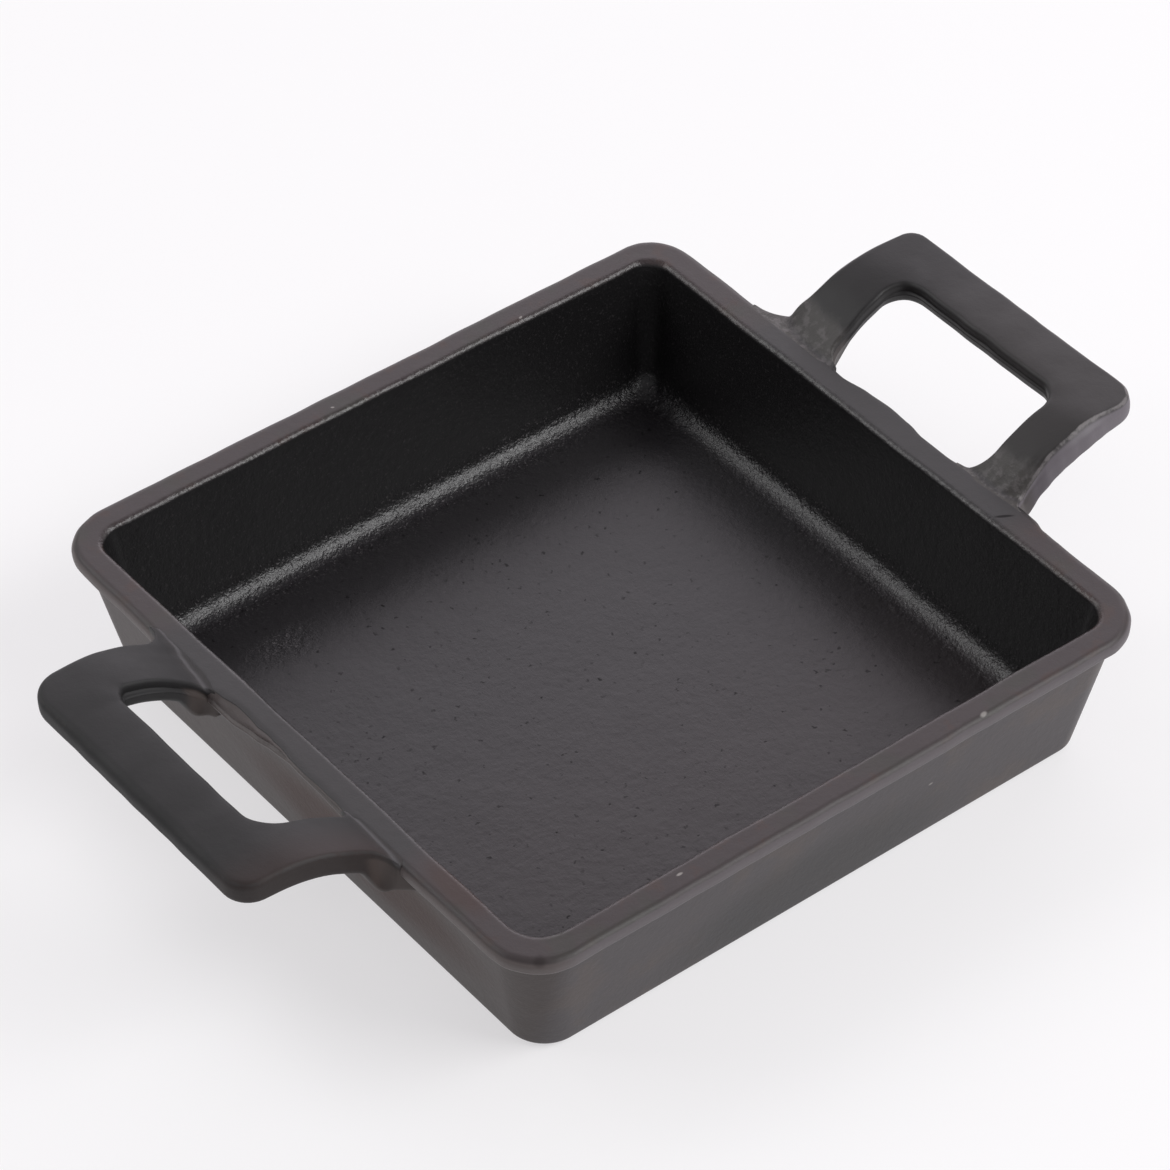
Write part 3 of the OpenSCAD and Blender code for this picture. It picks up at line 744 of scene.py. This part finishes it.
    normal = addNode(tree, "Bump", {
        "Strength": 1.0, "Distance": finish["waveDepth"] * mm, "Height": cloud})
    for height, strength, depth, sunken in (
            (lump, sandy, finish["lumpDepth"], False), (grain, sandy, finish["grainDepth"], False),
            (pits, finish["pitStrength"], finish["pitDepth"], True)):
        normal = addNode(tree, "Bump", {
            "Strength": strength, "Distance": depth * mm, "Height": height,
            "Normal": normal.outputs[0]}, invert=sunken)
    roughness = finish["roughness"]
    dullness = addNode(tree, "MapRange", {
        "Value": share["onRim"], "To Min": roughness["outside"],
        "To Max": roughness["rim"]}).outputs[0]
    dullness = addNode(tree, "Mix", {
        0: share["innerEdge"], 2: dullness, 3: roughness["inside"]}).outputs[0]
    glint = addNode(tree, "Math", {0: grain, 1: -0.5}, operation="ADD").outputs[0]
    glint = addNode(tree, "Math", {0: glint, 1: sandy}, operation="MULTIPLY").outputs[0]
    dullness = addNode(tree, "Math", {0: glint, 1: finish["glint"], 2: dullness},
                       operation="MULTIPLY_ADD").outputs[0]
    density = addNode(tree, "MapRange", {
        "Value": rustAndShadeShare, "To Min": finish["oilIor"], "To Max": finish["rustAndShadeIor"]}).outputs[0]
    shine = addNode(tree, "Mix", {
        0: hollows, 2: finish["plainShine"], 3: finish["hollowShine"]}).outputs[0]
    shader = addNode(tree, "BsdfPrincipled", {
        "Base Color": colour, "Roughness": dullness, "IOR": density, "Specular IOR Level": shine,
        "Normal": normal.outputs[0]})
    addNode(tree, "OutputMaterial", {"Surface": shader.outputs[0]})
    return material


# The pairs of places along Y, in metres, are where the warm tone and the flank tone start and are
# full;
# the flank tone is painted light on the front arm's outer side, and the crease, edge and lug tones
# are painted highlights and painted light. "fleck" is the share of bare grains in the sandy root.
# "handleSkin" is for both handles.
handleFinish = {
    "right": {"top": "#1b191a", "warm": "#2b2828", "warmAt": (0.024, -0.004), "crease": "#3a3739",
              "edge": "#7a7576", "flank": "#6c666c", "litFlankAt": (-0.020, -0.030), "lug": "#55504f",
              "root": "#474442", "rootReach": 7.0, "rootGrain": 0.3, "fleck": 0.35,
              "roughness": 0.5},
    "left": {"top": "#1b1a1b", "warm": "#2c1f1d", "warmAt": (-0.024, -0.036), "crease": "#454345",
             "edge": "#2e2b2b", "flank": "#2a2423", "litFlankAt": (-0.020, -0.034), "lug": "#433a37",
             "root": "#2b2828", "rootReach": 3.0, "rootGrain": 0.03, "fleck": 0.0,
             "roughness": 0.6},
}
handleSkin = {
    "grain": 0.5, "grainDepth": 0.022, "lump": 1.7, "lumpDepth": 0.02,
    "cloud": 12.0, "cloudDepth": 0.15, "cloudRoughness": 0.08, "noiseRoughness": 0.6,
    "bareGrain": "#7d7779", "ior": 1.45,
    "rootFade": 3.0, "rootRagged": 3.5,      # the sandy root fades over this, with a ragged edge
}


def handledSandCastIron(name, finish):
    # The same skin where hands and cloths rub it: duller, with less oil, and still rough with sand
    # where the arms leave the rim; lighter along its edges and crease as painted highlight, and on
    # the front arm's outer side and the lug's sides as painted light
    material, tree = newMaterial(name)
    place = addNode(tree, "TexCoord").outputs["Object"]
    axes = addNode(tree, "SeparateXYZ", {"Vector": place})
    fromCrease, onTop, creaseHighlight, outerEdge, flank, litLugSide = (
        addNode(tree, "Attribute", attribute_name=field).outputs["Fac"]
        for field in ("fromCrease", "onTop", "creaseHighlight", "outerEdge", "flank", "litLugSide"))
    grain, lump, cloud = (
        addNode(tree, "TexNoise", {
            "Vector": place, "Scale": perMillimetre(handleSkin[key]), "Detail": 3.0,
            "Roughness": handleSkin["noiseRoughness"]}).outputs[0]
        for key in ("grain", "lump", "cloud"))
    ragged = addNode(tree, "Math", {0: lump, 1: -0.5}, operation="ADD").outputs[0]
    ragged = addNode(tree, "Math", {
        0: ragged, 1: handleSkin["rootRagged"], 2: fromCrease}, operation="MULTIPLY_ADD").outputs[0]
    # a painted highlight along the outer top edge, broken up by the lumps
    edgeHighlight = addNode(tree, "Math", {0: outerEdge, 1: lump}, operation="MULTIPLY").outputs[0]

    # shares of each layer: (value, where it is 0, where it is full, how much is full)
    ranges = {
        "warm": (axes.outputs[1], *finish["warmAt"], 0.8), "cloud": (cloud, 0.42, 0.66, 0.6),
        "root": (ragged, finish["rootReach"], finish["rootReach"] - handleSkin["rootFade"], 0.75),
        "edge": (edgeHighlight, 0.22, 0.52, 0.7),
        "crease": (creaseHighlight, 0.0, 1.0, 0.9), "fleck": (lump, 0.45, 0.65, finish["fleck"]),
        # painted light on the front arm's outer side
        "lug": (litLugSide, 0.0, 1.0, 0.9), "litFrontFlank": (axes.outputs[1], *finish["litFlankAt"], 0.9),
    }
    share = {
        key: addNode(tree, "MapRange", {
            "Value": value, "From Min": low, "From Max": high, "To Max": most},
            interpolation_type="SMOOTHSTEP").outputs[0]
        for key, (value, low, high, most) in ranges.items()}
    share["root"], share["litFrontFlank"] = (
        addNode(tree, "Math", {0: share[key], 1: field}, operation="MULTIPLY").outputs[0]
        for key, field in (("root", onTop), ("litFrontFlank", flank)))
    share["fleck"] = addNode(tree, "Math", {0: share["fleck"], 1: share["root"]},
                             operation="MULTIPLY").outputs[0]
    colour = hexColour(finish["top"])
    for key, code in (
            ("warm", finish["warm"]), ("litFrontFlank", finish["flank"]), ("root", finish["root"]),
            ("lug", finish["lug"]), ("edge", finish["edge"]), ("crease", finish["crease"]),
            ("fleck", handleSkin["bareGrain"])):
        colour = addNode(tree, "Mix", {0: share[key], 6: colour, 7: hexColour(code)},
                         data_type="RGBA").outputs[2]
    depth = addNode(tree, "MapRange", {
        "Value": share["root"], "To Min": handleSkin["lumpDepth"] * mm,
        "To Max": finish["rootGrain"] * mm}).outputs[0]
    normal = addNode(tree, "Bump", {
        "Strength": 1.0, "Distance": handleSkin["cloudDepth"] * mm, "Height": cloud})
    for height, distance in ((lump, depth), (grain, handleSkin["grainDepth"] * mm)):
        normal = addNode(tree, "Bump", {
            "Strength": 1.0, "Distance": distance, "Height": height, "Normal": normal.outputs[0]})
    dullness = addNode(tree, "MapRange", {
        "Value": share["cloud"], "To Min": finish["roughness"],
        "To Max": finish["roughness"] + handleSkin["cloudRoughness"]}).outputs[0]
    shader = addNode(tree, "BsdfPrincipled", {
        "Base Color": colour, "Roughness": dullness, "IOR": handleSkin["ior"],
        "Normal": normal.outputs[0]})
    addNode(tree, "OutputMaterial", {"Surface": shader.outputs[0]})
    return material


panBody.data.materials.append(seasonedSandCastIron("seasonedSandCastIron", panFinish))
for kind, piece in handles.items():
    piece.data.materials.append(
        handledSandCastIron(kind + "HandledSandCastIron", handleFinish[kind]))
print("materials: done")


# Camera and reflections see the white sweep with a soft shadow: a plain light share is added to
# the lit paper. Light that the paper throws on the pan comes from its diffuse share alone.
stageLook = {
    "paper": "#f6f6f6", "paperShown": "#fbf9fb", "shownShare": 0.6, "floorSize": 6.0,
    "world": "#f2f1f4", "worldStrength": 0.36, "lampAim": (0, 0, 0.02),
    # place of the middle, width and height in metres, radiance, and colour: the room behind the
    # pan is a little purple
    "lamps": {"rightSoftbox": ((0.62, -0.76, 0.88), (0.9, 0.62), 6.6, "#ffffff"),
              "leftSoftbox": ((-0.78, 0.86, 0.84), (0.9, 0.62), 3.1, "#ffffff"),
              "leftUpperPanel": ((-0.32, 0.80, 1.10), (0.5, 0.4), 1.8, "#ffffff"),
              "backPanel": ((1.40, 1.45, 0.95), (2.7, 1.9), 1.66, "#fff7ff")},
}


material, tree = newMaterial("whitePaperSweep")
paper = addNode(tree, "BsdfDiffuse", {"Color": hexColour(stageLook["paper"])})
shown = addNode(tree, "Emission", {"Color": hexColour(stageLook["paperShown"]), "Strength": 1.0})
rays = addNode(tree, "LightPath").outputs
seen = addNode(tree, "Math", {0: rays["Is Camera Ray"], 1: rays["Is Glossy Ray"]},
               operation="MAXIMUM")
seen = addNode(tree, "Math", {0: seen.outputs[0], 1: stageLook["shownShare"]}, operation="MULTIPLY")
sweepLook = addNode(tree, "MixShader", {
    0: seen.outputs[0], 1: paper.outputs[0], 2: shown.outputs[0]})
addNode(tree, "OutputMaterial", {"Surface": sweepLook.outputs[0]})
half = stageLook["floorSize"] / 2
sweepMesh = bpy.data.meshes.new("paperSweep")
sweepMesh.from_pydata(
    [(-half, -half, 0), (half, -half, 0), (half, half, 0), (-half, half, 0)], [], [(0, 1, 2, 3)])
sweep = newObject("paperSweep", sweepMesh)
sweepMesh.materials.append(material)

world = bpy.data.worlds.new("softStudio")
bpy.context.scene.world = world
world.use_nodes = True
tree = world.node_tree
tree.nodes.clear()
cameraRay = addNode(tree, "LightPath").outputs["Is Camera Ray"]
room = addNode(tree, "Background", {
    "Color": hexColour(stageLook["world"]), "Strength": stageLook["worldStrength"]})
backdrop = addNode(tree, "Background", {
    "Color": hexColour(stageLook["paperShown"]), "Strength": 1.0})
sky = addNode(tree, "MixShader", {0: cameraRay, 1: room.outputs[0], 2: backdrop.outputs[0]})
addNode(tree, "OutputWorld", {"Surface": sky.outputs[0]})

for name, (place, size, radiance, code) in stageLook["lamps"].items():
    lampData = bpy.data.lights.new(name, "AREA")
    lampData.shape = "RECTANGLE"
    lampData.size, lampData.size_y = size
    lampData.color = hexColour(code)[:3]
    lampData.energy = radiance * math.pi * size[0] * size[1]
    lamp = newObject(name, lampData)
    lamp.location = place
    lamp.rotation_mode = "QUATERNION"
    towards = Vector(stageLook["lampAim"]) - lamp.location
    lamp.rotation_quaternion = towards.to_track_quat("-Z", "Y")
    lamp.visible_camera = False


# fitted to the edges of the rim, the base and the handles in the photograph: metres, degrees, and
# millimetres for the lens and sensor
cameraFacts = {
    "place": (-0.45038, -0.57065, 0.69700), "yaw": 38.105, "pitch": 42.506, "roll": -0.274,
    "lens": 160.25, "sensor": 36, "clip": (0.05, 20),
}
cameraData = bpy.data.cameras.new("camera")
cameraData.lens, cameraData.sensor_width = cameraFacts["lens"], cameraFacts["sensor"]
cameraData.clip_start, cameraData.clip_end = cameraFacts["clip"]
camera = newObject("camera", cameraData)
bpy.context.scene.camera = camera
yaw, pitch, roll = (math.radians(cameraFacts[key]) for key in ("yaw", "pitch", "roll"))
camera.matrix_world = (
    Matrix.Translation(cameraFacts["place"]) @ Matrix.Rotation(-yaw, 4, "Z")
    @ Matrix.Rotation(math.pi / 2 - pitch, 4, "X") @ Matrix.Rotation(roll, 4, "Z"))

bpy.context.scene.view_settings.view_transform = "Standard"
